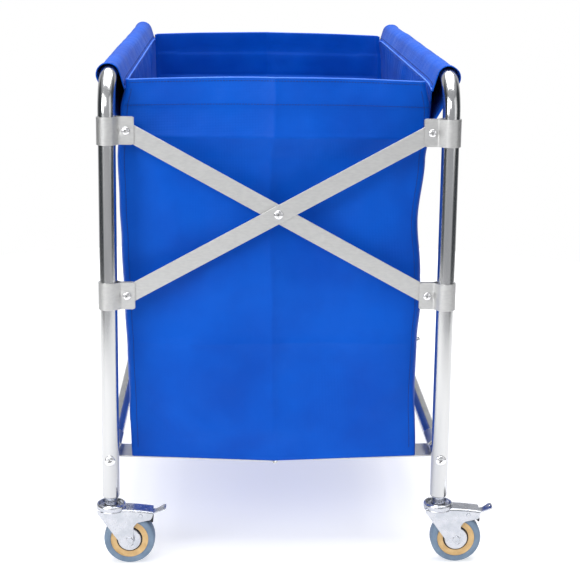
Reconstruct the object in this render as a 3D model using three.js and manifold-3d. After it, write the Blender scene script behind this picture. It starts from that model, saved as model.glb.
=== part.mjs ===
// Folding linen trolley: two inverted-U tube frames, an X brace at each end, folding floor links,
// four braked swivel casters and an open fabric bag hung from the top rails.
// Millimetres, +Z up. +X runs from the left frame to the right frame, +Y runs front to rear.
import * as THREE from 'three';
import { mergeVertices } from 'three/addons/utils/BufferGeometryUtils.js';
import Module from 'manifold-3d';

const wasm = await Module();
wasm.setup();

// ---------------------------------------------------------------- driving dimensions
const LEG_SPACING = 486;        // left leg axis to right leg axis
const FRAME_DEPTH = 875;        // front leg axis to rear leg axis
const RAIL_HEIGHT = 722.5;      // axis of the top rail
const TUBE_RADIUS = 12.5;
const TUBE_WALL = 1.5;
const BEND_RADIUS = 50;         // axis radius of the two top bends
const TUBE_END = 102;           // height of the open lower end of a leg
const FIT_GAP = 0.3;            // air between pieces that touch

const LOWER_RAIL_HEIGHT = 161;
const LOWER_RAIL_RADIUS = 11;
const LOWER_RAIL_WALL = 1.5;
const RAIL_PLUG_LENGTH = 25;    // solid end of a lower rail that takes the rail bolt
const RAIL_BOLT_HEAD_RADIUS = 7.75;

const UPPER_PIVOT_HEIGHT = 647.5;
const LOWER_PIVOT_HEIGHT = 408.7;
const PIVOT_INSET = 26.5;       // leg axis to the pivot bolt of its clamp
const ARM_WIDTH = 25;
const ARM_THICKNESS = 2.5;

const CLAMP_HEIGHT = 39.5;
const CLAMP_SHEET = 2;
const CLAMP_EAR_REACH = 38;     // leg axis to the free edge of the ears
const BOLT_RADIUS = 3;
const BOLT_HOLE_RADIUS = 3.3;
const BOLT_HEAD_RADIUS = 6;
const BOLT_HEAD_HEIGHT = 3;
const NUT_RADIUS = 5.8;
const NUT_HEIGHT = 4.5;

const LINK_WIDTH = 50;
const LINK_SHEET = 2;
const LINK_INSET = 66;          // leg axis plane to the middle of a floor link
const LINK_SLOPE = THREE.MathUtils.degToRad(2.1);
const LINK_LAP = 56;            // length of the half-width tongue at the middle
const KNUCKLE_RADIUS = 4;
const LINK_PIN_RADIUS = 1.9;

const BAG_HALF_WIDTH = 220;
const BAG_HALF_DEPTH = 397.5;
const BAG_TOP = 715;
const BAG_BOTTOM = 150.5;       // along the sides
const BAG_SAG = 5.5;            // how much lower the floor is along the middle
const BAG_WALL = 2;
const SLEEVE_HALF_WIDTH = 17;
const SLEEVE_LOW = 650;
const SLEEVE_SEAM_HEIGHT = 706;

const WHEEL_RADIUS = 37.5;
const TYRE_BORE_RADIUS = 27.8;
const TYRE_HALF_WIDTH = 10.5;
const CORE_RADIUS = 27.5;
const HUB_HALF_WIDTH = 11.8;
const AXLE_RADIUS = 4;
const CASTER_TRAIL = 27;        // leg axis to the wheel axle
const FORK_HALF_WIDTH = 14.5;
const FORK_SHEET = 2;
const FORK_TOP = 86;
const RACEWAY_RADIUS = 21.5;
const STEM_RADIUS = 5;
const PEDAL_PIVOT = new THREE.Vector2(44, 79.5);   // x and z of the brake pedal's pivot
const PEDAL_PIN_RADIUS = 2;

const WHEEL_SIDES = 20;
const HALF_FACET = Math.PI / WHEEL_SIDES;   // turns a wheel so that it stands on a flat facet
const RACEWAY_SIDES = 16;
const TUBE_SIDES = 16;
const BOLT_SIDES = 10;

// ---------------------------------------------------------------- materials
function metal(name, colour, roughness) {
  return new THREE.MeshStandardMaterial({ name, color: colour, roughness, metalness: 1 });
}

function soft(name, colour, roughness) {
  return new THREE.MeshStandardMaterial({ name, color: colour, roughness, metalness: 0 });
}

const MATERIALS = {
  polished: metal('polished_stainless_tube', 0xd9dadc, 0.12),
  brushed: metal('brushed_stainless_strip', 0xc2c2c0, 0.38),
  zinc: metal('bright_zinc', 0xd4d7de, 0.22),
  fastener: metal('fastener_steel', 0xdcdcdc, 0.2),
  tyre: soft('grey_rubber_tyre', 0x6c7f94, 0.7),
  core: soft('tan_plastic_core', 0xd2ab73, 0.5),
  fabric: soft('blue_coated_fabric', 0x0a4fc8, 0.65),
};

// ---------------------------------------------------------------- mesh helpers
// Signed volume of a triangle soup: negative when its faces point inwards.
function signedVolume(position, corners) {
  const [a, b, c] = [new THREE.Vector3(), new THREE.Vector3(), new THREE.Vector3()];
  let volume = 0;
  for (let i = 0; i < corners.length; i += 3) {
    a.fromBufferAttribute(position, corners[i]);
    b.fromBufferAttribute(position, corners[i + 1]);
    c.fromBufferAttribute(position, corners[i + 2]);
    volume += a.dot(b.cross(c)) / 6;
  }
  return volume;
}

// One closed skin with shared vertices, no collapsed triangles and its faces pointing out.
function weld(geometry) {
  const bare = geometry.clone();
  bare.deleteAttribute('normal');
  bare.deleteAttribute('uv');
  const welded = mergeVertices(bare, 1e-4);
  const source = welded.index.array;
  const corners = [];
  for (let i = 0; i < source.length; i += 3) {
    const [a, b, c] = [source[i], source[i + 1], source[i + 2]];
    if (a !== b && b !== c && c !== a) {
      corners.push(a, b, c);
    }
  }
  if (signedVolume(welded.attributes.position, corners) < 0) {
    corners.reverse();
  }
  welded.clearGroups();
  welded.setIndex(corners);
  return welded;
}

function toSolid(geometry) {
  const welded = weld(geometry);
  const vertProperties = Float32Array.from(welded.attributes.position.array);
  const triVerts = Uint32Array.from(welded.index.array);
  return new wasm.Manifold(new wasm.Mesh({ numProp: 3, vertProperties, triVerts }));
}

function toGeometry(solid) {
  const mesh = solid.getMesh();
  const geometry = new THREE.BufferGeometry();
  geometry.setAttribute('position', new THREE.BufferAttribute(mesh.vertProperties, 3));
  geometry.setIndex(new THREE.BufferAttribute(mesh.triVerts, 1));
  return geometry;
}

// base with every added geometry joined on and every cut geometry taken away
function combine(base, added, cuts) {
  let solid = toSolid(base);
  for (const geometry of added) {
    solid = solid.add(toSolid(geometry));
  }
  for (const geometry of cuts) {
    solid = solid.subtract(toSolid(geometry));
  }
  return toGeometry(solid);
}

function block(xMin, xMax, yMin, yMax, zMin, zMax) {
  const geometry = new THREE.BoxGeometry(xMax - xMin, yMax - yMin, zMax - zMin);
  return geometry.translate((xMin + xMax) / 2, (yMin + yMax) / 2, (zMin + zMax) / 2);
}

// A cylinder along Y from yMin to yMax, centred on x and z.
function crossPin(radius, x, z, yMin, yMax, sides) {
  const geometry = new THREE.CylinderGeometry(radius, radius, yMax - yMin, sides);
  return geometry.translate(x, (yMin + yMax) / 2, z);
}

// Outline drawn in X and Z, extruded along Y from yMin to yMax.
function plateAcross(shape, yMin, yMax, curveSegments) {
  const geometry = new THREE.ExtrudeGeometry(shape, {
    depth: yMax - yMin, bevelEnabled: false, curveSegments,
  });
  return geometry.rotateX(Math.PI / 2).translate(0, yMax, 0);
}

// Closed profile of [radius, height] pairs turned about the Z axis.
function turned(profile, sides, startAngle = 0) {
  const points = profile.map(([radius, height]) => new THREE.Vector2(radius, height));
  points.push(points[0].clone());
  return new THREE.LatheGeometry(points, sides, startAngle).rotateX(Math.PI / 2);
}

// ---------------------------------------------------------------- assembly
const trolley = new THREE.Group();

function addPiece(name, geometry, material, parent = trolley) {
  const mesh = new THREE.Mesh(weld(geometry), material);
  mesh.name = name;
  mesh.geometry.computeVertexNormals();
  parent.add(mesh);
  return mesh;
}

const ENDS = [{ name: 'front', sign: -1 }, { name: 'rear', sign: 1 }];
const SIDES = [{ name: 'left', sign: -1 }, { name: 'right', sign: 1 }];

// ---------------------------------------------------------------- side frames
// The axis of an inverted U in the YZ plane, given only where its direction changes.
class BentTubePath extends THREE.Curve {
  constructor(bendSteps) {
    super();
    this.places = [];
    this.directions = [];
    const halfDepth = FRAME_DEPTH / 2;
    this.addStation(-halfDepth, TUBE_END, 0, 1);
    this.addBend(-halfDepth + BEND_RADIUS, Math.PI, bendSteps);
    this.addBend(halfDepth - BEND_RADIUS, Math.PI / 2, bendSteps);
    this.addStation(halfDepth, TUBE_END, 0, -1);
  }

  addStation(y, z, directionY, directionZ) {
    this.places.push(new THREE.Vector3(0, y, z));
    this.directions.push(new THREE.Vector3(0, directionY, directionZ));
  }

  addBend(centreY, startAngle, bendSteps) {
    for (let step = 0; step <= bendSteps; step += 1) {
      const angle = startAngle - (Math.PI / 2) * (step / bendSteps);
      const y = centreY + BEND_RADIUS * Math.cos(angle);
      const z = RAIL_HEIGHT - BEND_RADIUS + BEND_RADIUS * Math.sin(angle);
      this.addStation(y, z, Math.sin(angle), -Math.cos(angle));
    }
  }

  indexAt(u) {
    return Math.round(u * (this.places.length - 1));
  }

  getPointAt(u) {
    return this.places[this.indexAt(u)].clone();
  }

  getTangentAt(u) {
    return this.directions[this.indexAt(u)].clone();
  }
}

function ring(outerRadius, innerRadius) {
  const shape = new THREE.Shape();
  shape.absarc(0, 0, outerRadius, 0, 2 * Math.PI, false);
  const hole = new THREE.Path();
  hole.absarc(0, 0, innerRadius, 0, 2 * Math.PI, false);
  shape.holes.push(hole);
  return shape;
}

function frameTube() {
  const path = new BentTubePath(6);
  const tube = new THREE.ExtrudeGeometry(ring(TUBE_RADIUS, TUBE_RADIUS - TUBE_WALL), {
    extrudePath: path, steps: path.places.length - 1, curveSegments: TUBE_SIDES / 2,
  });
  const boltHole = crossPin(BOLT_HOLE_RADIUS, 0, LOWER_RAIL_HEIGHT, -FRAME_DEPTH, FRAME_DEPTH, BOLT_SIDES);
  return combine(tube, [], [boltHole]);
}

// Tube with plugged ends, each drilled for the bolt that holds it to the leg.
function lowerRail() {
  const end = FRAME_DEPTH / 2 - TUBE_RADIUS - FIT_GAP;
  const plugEnd = end - RAIL_PLUG_LENGTH;
  const inner = LOWER_RAIL_RADIUS - LOWER_RAIL_WALL;
  const profile = [
    [LOWER_RAIL_RADIUS, -end], [LOWER_RAIL_RADIUS, end], [BOLT_HOLE_RADIUS, end],
    [BOLT_HOLE_RADIUS, plugEnd], [inner, plugEnd], [inner, -plugEnd],
    [BOLT_HOLE_RADIUS, -plugEnd], [BOLT_HOLE_RADIUS, -end],
  ];
  return turned(profile, TUBE_SIDES).rotateX(Math.PI / 2).translate(0, 0, LOWER_RAIL_HEIGHT);
}

// Round-head bolt along Y, its head on the side of the given sign.
function railBolt(sign) {
  const seat = FRAME_DEPTH / 2 + TUBE_RADIUS + FIT_GAP;
  const tip = FRAME_DEPTH / 2 - TUBE_RADIUS - RAIL_PLUG_LENGTH + 2;
  const profile = [
    [0, tip], [BOLT_RADIUS, tip], [BOLT_RADIUS, seat], [RAIL_BOLT_HEAD_RADIUS, seat],
    [RAIL_BOLT_HEAD_RADIUS, seat + 1], [RAIL_BOLT_HEAD_RADIUS * 0.6, seat + 3.5], [0, seat + 3.5],
  ];
  const points = profile.map(([radius, height]) => new THREE.Vector2(radius, height));
  const bolt = new THREE.LatheGeometry(points, BOLT_SIDES);
  return bolt.rotateX(sign > 0 ? 0 : Math.PI).translate(0, 0, LOWER_RAIL_HEIGHT);
}

function addSideFrame(side) {
  const frame = new THREE.Group();
  frame.position.x = side.sign * LEG_SPACING / 2;
  trolley.add(frame);
  addPiece(`${side.name}_frame_tube`, frameTube(), MATERIALS.polished, frame);
  addPiece(`${side.name}_lower_rail`, lowerRail(), MATERIALS.polished, frame);
  for (const end of ENDS) {
    addPiece(`${end.name}_${side.name}_rail_bolt`, railBolt(end.sign), MATERIALS.fastener, frame);
  }
}

// ---------------------------------------------------------------- X braces
// Offset of an arm's middle plane from the leg plane, measured outwards: arm b lies outside arm a.
const ARM_OFFSET = { a: -(ARM_THICKNESS + FIT_GAP) / 2, b: (ARM_THICKNESS + FIT_GAP) / 2 };
const PIVOT_SPAN = LEG_SPACING - 2 * PIVOT_INSET;
const PIVOT_DROP = UPPER_PIVOT_HEIGHT - LOWER_PIVOT_HEIGHT;
const ARM_LENGTH = Math.hypot(PIVOT_SPAN, PIVOT_DROP);
const ARM_ANGLE = Math.atan2(PIVOT_DROP, PIVOT_SPAN);

// Flat bar with round ends and three holes, centred on its middle hole and lying along X.
function braceArm() {
  const reach = ARM_LENGTH / 2;
  const outline = new THREE.Shape();
  outline.absarc(reach, 0, ARM_WIDTH / 2, -Math.PI / 2, Math.PI / 2, false);
  outline.absarc(-reach, 0, ARM_WIDTH / 2, Math.PI / 2, 1.5 * Math.PI, false);
  for (const x of [-reach, 0, reach]) {
    const hole = new THREE.Path();
    hole.absarc(x, 0, BOLT_HOLE_RADIUS, 0, 2 * Math.PI, false);
    outline.holes.push(hole);
  }
  return plateAcross(outline, -ARM_THICKNESS / 2, ARM_THICKNESS / 2, 5);
}

// Sheet band round a leg whose two ends run on side by side as ears. The slot between the ears
// lies slotOffset away from the leg axis, and the ears point along X by the given sign.
function clampBand(earSign, slotOffset) {
  const inner = TUBE_RADIUS + FIT_GAP;
  const outer = inner + CLAMP_SHEET;
  const halfSlot = ARM_THICKNESS / 2 + FIT_GAP;
  const neck = 17;
  const leaveAngle = THREE.MathUtils.degToRad(42);
  const arcSteps = 16;
  const outline = [];
  const pushArc = (radius, from, to) => {
    for (let step = 0; step <= arcSteps; step += 1) {
      const angle = from + (to - from) * (step / arcSteps);
      outline.push([radius * Math.cos(angle), radius * Math.sin(angle)]);
    }
  };
  const low = slotOffset - halfSlot;
  const high = slotOffset + halfSlot;
  outline.push([CLAMP_EAR_REACH, high], [CLAMP_EAR_REACH, high + CLAMP_SHEET]);
  outline.push([neck, high + CLAMP_SHEET]);
  pushArc(outer, leaveAngle, 2 * Math.PI - leaveAngle);
  outline.push([neck, low - CLAMP_SHEET], [CLAMP_EAR_REACH, low - CLAMP_SHEET], [CLAMP_EAR_REACH, low]);
  pushArc(inner, 2 * Math.PI + Math.asin(low / inner), Math.asin(high / inner));
  const shape = new THREE.Shape(outline.map(([x, y]) => new THREE.Vector2(earSign * x, y)));
  const band = new THREE.ExtrudeGeometry(shape, { depth: CLAMP_HEIGHT, bevelEnabled: false });
  band.translate(0, 0, -CLAMP_HEIGHT / 2);
  const hole = crossPin(BOLT_HOLE_RADIUS, earSign * PIVOT_INSET, 0, -20, 20, BOLT_SIDES);
  return combine(band, [], [hole]);
}

// Pivot bolt along Y with its nut screwed on. The head bears on headSeat, the nut on nutSeat.
function pivotBolt(headSeat, nutSeat) {
  const profile = [
    [0, nutSeat - NUT_HEIGHT - 1.5], [BOLT_RADIUS, nutSeat - NUT_HEIGHT - 1.5],
    [BOLT_RADIUS, headSeat], [BOLT_HEAD_RADIUS, headSeat], [BOLT_HEAD_RADIUS, headSeat + 1.2],
    [BOLT_HEAD_RADIUS * 0.6, headSeat + BOLT_HEAD_HEIGHT], [0, headSeat + BOLT_HEAD_HEIGHT],
  ];
  const points = profile.map(([radius, height]) => new THREE.Vector2(radius, height));
  const bolt = new THREE.LatheGeometry(points, BOLT_SIDES);
  const nut = crossPin(NUT_RADIUS, 0, 0, nutSeat - NUT_HEIGHT, nutSeat, 6);
  return combine(bolt, [nut], []);
}

function addBrace(end) {
  const plane = end.sign * FRAME_DEPTH / 2;
  const middleHeight = (UPPER_PIVOT_HEIGHT + LOWER_PIVOT_HEIGHT) / 2;
  for (const arm of ['a', 'b']) {
    const mesh = addPiece(`${end.name}_brace_arm_${arm}`, braceArm(), MATERIALS.brushed);
    mesh.position.set(0, plane + end.sign * ARM_OFFSET[arm], middleHeight);
    mesh.rotation.y = arm === 'a' ? ARM_ANGLE : -ARM_ANGLE;
  }
  const halfStack = ARM_THICKNESS + 1.5 * FIT_GAP;
  const centreBolt = addPiece(`${end.name}_brace_centre_bolt`, pivotBolt(halfStack, -halfStack), MATERIALS.fastener);
  centreBolt.position.set(0, plane, middleHeight);
  centreBolt.rotation.x = end.sign > 0 ? 0 : Math.PI;
}

function addClamp(end, side, level) {
  const arm = (side.sign < 0) === (level.name === 'upper') ? 'a' : 'b';
  const mount = new THREE.Group();
  mount.position.set(side.sign * LEG_SPACING / 2, end.sign * FRAME_DEPTH / 2, level.height);
  trolley.add(mount);
  const label = `${end.name}_${side.name}_${level.name}_clamp`;
  const slotOffset = end.sign * ARM_OFFSET[arm];
  addPiece(label, clampBand(-side.sign, slotOffset), MATERIALS.brushed, mount);
  const earFace = ARM_THICKNESS / 2 + 2 * FIT_GAP + CLAMP_SHEET;
  const bolt = addPiece(`${label}_bolt`, pivotBolt(earFace, -earFace), MATERIALS.fastener, mount);
  bolt.position.set(-side.sign * PIVOT_INSET, slotOffset, 0);
  bolt.rotation.x = end.sign > 0 ? 0 : Math.PI;
}

// ---------------------------------------------------------------- floor links
const LINK_REACH = (LEG_SPACING / 2 + (LOWER_RAIL_RADIUS + FIT_GAP + LINK_SHEET / 2)
  * Math.sin(LINK_SLOPE)) / Math.cos(LINK_SLOPE);

// Strip that curls round a lower rail (the origin) and runs along +X under it. Half of its width
// is cut back at the far end, so that the strip from the other rail fits beside it.
function floorLink() {
  const inner = LOWER_RAIL_RADIUS + FIT_GAP;
  const outer = inner + LINK_SHEET;
  const curlEnd = THREE.MathUtils.degToRad(25);
  const shape = new THREE.Shape();
  shape.moveTo(LINK_REACH, -outer);
  shape.lineTo(LINK_REACH, -inner);
  shape.lineTo(0, -inner);
  shape.absarc(0, 0, inner, -Math.PI / 2, curlEnd, true);
  shape.lineTo(outer * Math.cos(curlEnd), outer * Math.sin(curlEnd));
  shape.absarc(0, 0, outer, curlEnd, -Math.PI / 2, false);
  const strip = plateAcross(shape, -LINK_WIDTH / 2, LINK_WIDTH / 2, 11);
  const axisHeight = -(inner + outer) / 2;
  const gap = FIT_GAP / 2;
  const knuckle = crossPin(KNUCKLE_RADIUS, LINK_REACH, axisHeight, -LINK_WIDTH / 2, -gap, 12);
  const lapCut = block(LINK_REACH - LINK_LAP, LINK_REACH + 10, -gap, LINK_WIDTH, -outer - 10, -inner + 10);
  const pinHole = crossPin(LINK_PIN_RADIUS + FIT_GAP, LINK_REACH, axisHeight, -LINK_WIDTH, LINK_WIDTH, 12);
  return combine(strip, [knuckle], [lapCut, pinHole]);
}

function addFloorLinks(end) {
  const middle = end.sign * (FRAME_DEPTH / 2 - LINK_INSET);
  for (const side of SIDES) {
    const link = addPiece(`${end.name}_${side.name}_floor_link`, floorLink(), MATERIALS.brushed);
    link.position.set(side.sign * LEG_SPACING / 2, middle, LOWER_RAIL_HEIGHT);
    link.rotation.order = 'YZX';
    link.rotation.y = -side.sign * LINK_SLOPE;
    link.rotation.z = side.sign < 0 ? 0 : Math.PI;
  }
  const pinHeight = LOWER_RAIL_HEIGHT - LINK_REACH * Math.sin(LINK_SLOPE)
    - (LOWER_RAIL_RADIUS + FIT_GAP + LINK_SHEET / 2) * Math.cos(LINK_SLOPE);
  const pin = crossPin(LINK_PIN_RADIUS, 0, pinHeight, middle - LINK_WIDTH / 2, middle - FIT_GAP, 12);
  addPiece(`${end.name}_floor_link_pin`, pin, MATERIALS.fastener);
}

// ---------------------------------------------------------------- bag
function bagOutline(inset) {
  const halfWidth = BAG_HALF_WIDTH - inset;
  const top = BAG_TOP + 2 * inset;
  const taper = 5;
  const shape = new THREE.Shape();
  shape.moveTo(-halfWidth, top);
  shape.lineTo(-halfWidth + taper, BAG_BOTTOM + inset);
  shape.lineTo(0, BAG_BOTTOM - BAG_SAG + inset);
  shape.lineTo(halfWidth - taper, BAG_BOTTOM + inset);
  shape.lineTo(halfWidth, top);
  return shape;
}

function bag() {
  const outer = plateAcross(bagOutline(0), -BAG_HALF_DEPTH, BAG_HALF_DEPTH, 4);
  const innerDepth = BAG_HALF_DEPTH - BAG_WALL;
  const inner = plateAcross(bagOutline(BAG_WALL), -innerDepth, innerDepth, 4);
  return combine(outer, [], [inner]);
}

function roundedBox(xMin, xMax, zMin, zMax, radius) {
  const shape = new THREE.Shape();
  shape.absarc(xMax - radius, zMax - radius, radius, 0, Math.PI / 2, false);
  shape.absarc(xMin + radius, zMax - radius, radius, Math.PI / 2, Math.PI, false);
  shape.absarc(xMin + radius, zMin + radius, radius, Math.PI, 1.5 * Math.PI, false);
  shape.absarc(xMax - radius, zMin + radius, radius, 1.5 * Math.PI, 2 * Math.PI, false);
  return shape;
}

// Loose loop of fabric round a top rail, with the short seam that reaches the bag's side wall.
function sleeve(sign) {
  const sleeveTop = RAIL_HEIGHT + TUBE_RADIUS + FIT_GAP + BAG_WALL;
  const loop = roundedBox(-SLEEVE_HALF_WIDTH, SLEEVE_HALF_WIDTH, SLEEVE_LOW, sleeveTop, 14);
  const hollow = roundedBox(
    -SLEEVE_HALF_WIDTH + BAG_WALL, SLEEVE_HALF_WIDTH - BAG_WALL,
    SLEEVE_LOW + BAG_WALL, sleeveTop - BAG_WALL, 14 - BAG_WALL,
  );
  const skin = plateAcross(loop, -BAG_HALF_DEPTH, BAG_HALF_DEPTH, 5);
  const cut = plateAcross(hollow, -BAG_HALF_DEPTH - 5, BAG_HALF_DEPTH + 5, 5);
  const seamReach = LEG_SPACING / 2 - BAG_HALF_WIDTH - FIT_GAP;
  const seamSpan = [-sign * (SLEEVE_HALF_WIDTH - 1), -sign * seamReach].sort((a, b) => a - b);
  const seam = block(
    seamSpan[0], seamSpan[1], -BAG_HALF_DEPTH, BAG_HALF_DEPTH,
    SLEEVE_SEAM_HEIGHT, SLEEVE_SEAM_HEIGHT + BAG_WALL,
  );
  return combine(skin, [seam], [cut]);
}

// ---------------------------------------------------------------- casters
// Plug inside the leg, the collar below it and the stem that the fork turns on, as one turned piece.
function casterStem() {
  const plugRadius = TUBE_RADIUS - TUBE_WALL - 0.4;
  const profile = [
    [0, 79], [STEM_RADIUS, 79], [STEM_RADIUS, 93], [9.6, 93], [9.6, TUBE_END - FIT_GAP - 2],
    [TUBE_RADIUS - 1, TUBE_END - FIT_GAP - 2], [TUBE_RADIUS - 1, TUBE_END - FIT_GAP],
    [plugRadius, TUBE_END - FIT_GAP], [plugRadius, 138], [0, 138],
  ];
  const points = profile.map(([radius, height]) => new THREE.Vector2(radius, height));
  return new THREE.LatheGeometry(points, BOLT_SIDES).rotateX(Math.PI / 2);
}

// Side outline of the fork: raceway plate, leg down to the axle and brake housing behind.
function forkOutline() {
  const shape = new THREE.Shape();
  shape.moveTo(-19, FORK_TOP);
  shape.lineTo(-20.5, FORK_TOP - 6);
  shape.lineTo(CASTER_TRAIL - 14, 44);
  shape.absarc(CASTER_TRAIL, WHEEL_RADIUS, 12, Math.PI, 2 * Math.PI, false);
  shape.lineTo(CASTER_TRAIL + 8, 55);
  shape.lineTo(CASTER_TRAIL + 13, 63);
  shape.lineTo(61, 69);
  shape.lineTo(62, FORK_TOP - 2);
  shape.lineTo(40, FORK_TOP);
  return shape;
}

function casterFork() {
  const body = plateAcross(forkOutline(), -FORK_HALF_WIDTH, FORK_HALF_WIDTH, 5);
  const raceway = turned([
    [STEM_RADIUS + FIT_GAP, FORK_TOP - 3], [RACEWAY_RADIUS, FORK_TOP - 3],
    [RACEWAY_RADIUS, FORK_TOP + 3], [RACEWAY_RADIUS - 3, FORK_TOP + 6],
    [12, FORK_TOP + 6], [12, FORK_TOP + 2], [STEM_RADIUS + FIT_GAP, FORK_TOP + 2],
  ], RACEWAY_SIDES);
  const innerHalf = FORK_HALF_WIDTH - FORK_SHEET;
  const wheelRoom = block(-40, 90, -innerHalf, innerHalf, 0, FORK_TOP - 4);
  const boreRadius = STEM_RADIUS + FIT_GAP;
  const stemBore = new THREE.CylinderGeometry(boreRadius, boreRadius, 40, RACEWAY_SIDES);
  stemBore.rotateX(Math.PI / 2).translate(0, 0, FORK_TOP);
  const pedalBore = crossPin(PEDAL_PIN_RADIUS + FIT_GAP, PEDAL_PIVOT.x, PEDAL_PIVOT.y, -20, 20, 10);
  const shell = combine(body, [raceway], [wheelRoom, stemBore, pedalBore]);
  const axle = crossPin(AXLE_RADIUS, CASTER_TRAIL, WHEEL_RADIUS, -FORK_HALF_WIDTH, FORK_HALF_WIDTH, 12);
  const heads = [-1, 1].map((sign) => crossPin(
    6.5, CASTER_TRAIL, WHEEL_RADIUS,
    sign * (FORK_HALF_WIDTH + 1.5) - 1.6, sign * (FORK_HALF_WIDTH + 1.5) + 1.6, 6,
  ));
  return combine(shell, [axle, ...heads], []);
}

function wheelCore() {
  const bore = AXLE_RADIUS + FIT_GAP;
  const web = 6;
  return turned([
    [bore, -HUB_HALF_WIDTH], [17, -HUB_HALF_WIDTH], [18.5, -web], [CORE_RADIUS - 3, -web],
    [CORE_RADIUS, -TYRE_HALF_WIDTH + 1.5], [CORE_RADIUS, TYRE_HALF_WIDTH - 1.5], [CORE_RADIUS - 3, web],
    [18.5, web], [17, HUB_HALF_WIDTH], [bore, HUB_HALF_WIDTH],
  ], WHEEL_SIDES, HALF_FACET).rotateX(Math.PI / 2).translate(CASTER_TRAIL, 0, WHEEL_RADIUS);
}

// The tread's facets touch the wheel's true radius at their middles.
function tyre() {
  const tread = WHEEL_RADIUS / Math.cos(HALF_FACET);
  return turned([
    [TYRE_BORE_RADIUS, -TYRE_HALF_WIDTH], [tread - 4, -TYRE_HALF_WIDTH],
    [tread, -TYRE_HALF_WIDTH + 5], [tread, TYRE_HALF_WIDTH - 5],
    [tread - 4, TYRE_HALF_WIDTH], [TYRE_BORE_RADIUS, TYRE_HALF_WIDTH],
  ], WHEEL_SIDES, HALF_FACET).rotateX(Math.PI / 2).translate(CASTER_TRAIL, 0, WHEEL_RADIUS);
}

// Lever inside the brake housing: cross pin, brake shoe over the tyre and the tab that a foot presses.
function brakePedal() {
  const outline = new THREE.Shape();
  outline.moveTo(41, 78);
  outline.lineTo(50, 76);
  outline.lineTo(49, 71.5);
  outline.lineTo(59, 66);
  outline.lineTo(60, 76);
  outline.lineTo(66, 77.5);
  outline.lineTo(79, 82);
  outline.lineTo(81, 86);
  outline.lineTo(78, 86);
  outline.lineTo(66, 81);
  outline.lineTo(41, 81);
  const lever = plateAcross(outline, -9, 9, 4);
  const pinReach = FORK_HALF_WIDTH - FIT_GAP;
  const pin = crossPin(PEDAL_PIN_RADIUS, PEDAL_PIVOT.x, PEDAL_PIVOT.y, -pinReach, pinReach, 10);
  return combine(lever, [pin], []);
}

function addCaster(end, side) {
  const caster = new THREE.Group();
  caster.position.set(side.sign * LEG_SPACING / 2, end.sign * FRAME_DEPTH / 2, 0);
  trolley.add(caster);
  const label = `${end.name}_${side.name}`;
  addPiece(`${label}_caster_stem`, casterStem(), MATERIALS.zinc, caster);
  addPiece(`${label}_caster_fork`, casterFork(), MATERIALS.zinc, caster);
  addPiece(`${label}_wheel_core`, wheelCore(), MATERIALS.core, caster);
  addPiece(`${label}_tyre`, tyre(), MATERIALS.tyre, caster);
  addPiece(`${label}_brake_pedal`, brakePedal(), MATERIALS.zinc, caster);
}

// ---------------------------------------------------------------- the whole trolley
const LEVELS = [
  { name: 'upper', height: UPPER_PIVOT_HEIGHT },
  { name: 'lower', height: LOWER_PIVOT_HEIGHT },
];

for (const side of SIDES) {
  addSideFrame(side);
  const cover = addPiece(`${side.name}_rail_sleeve`, sleeve(side.sign), MATERIALS.fabric);
  cover.position.x = side.sign * LEG_SPACING / 2;
}
for (const end of ENDS) {
  addBrace(end);
  addFloorLinks(end);
  for (const side of SIDES) {
    addCaster(end, side);
    for (const level of LEVELS) {
      addClamp(end, side, level);
    }
  }
}
addPiece('bag', bag(), MATERIALS.fabric);

// The origin is the middle of the footprint, on the floor.
const extent = new THREE.Box3().setFromObject(trolley, true);
const centre = extent.getCenter(new THREE.Vector3());
trolley.position.set(-centre.x, -centre.y, -extent.min.z);

export default trolley;
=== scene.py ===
"""Folding linen trolley: the looks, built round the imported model. Metres, +Z up, front is -Y."""
import math

import bmesh
import bpy
from mathutils import Matrix, Vector, noise


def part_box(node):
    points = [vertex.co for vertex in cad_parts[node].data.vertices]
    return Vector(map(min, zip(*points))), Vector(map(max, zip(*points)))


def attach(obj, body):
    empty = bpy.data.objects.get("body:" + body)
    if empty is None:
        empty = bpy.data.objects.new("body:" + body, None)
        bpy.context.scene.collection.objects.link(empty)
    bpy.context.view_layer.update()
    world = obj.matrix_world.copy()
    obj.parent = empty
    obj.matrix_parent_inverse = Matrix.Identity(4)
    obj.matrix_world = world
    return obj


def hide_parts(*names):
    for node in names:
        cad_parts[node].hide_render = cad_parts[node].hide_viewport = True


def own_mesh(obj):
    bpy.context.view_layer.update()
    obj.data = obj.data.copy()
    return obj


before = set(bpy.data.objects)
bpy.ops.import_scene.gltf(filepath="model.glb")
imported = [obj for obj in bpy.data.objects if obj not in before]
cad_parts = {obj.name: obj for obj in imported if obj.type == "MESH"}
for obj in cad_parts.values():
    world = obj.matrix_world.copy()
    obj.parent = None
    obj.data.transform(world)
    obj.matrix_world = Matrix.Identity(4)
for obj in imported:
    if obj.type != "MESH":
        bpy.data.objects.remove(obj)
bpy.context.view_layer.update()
MM = 0.001
TAU = 2 * math.pi


def middle(node):
    lo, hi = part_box(node)
    return (lo + hi) / 2


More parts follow.
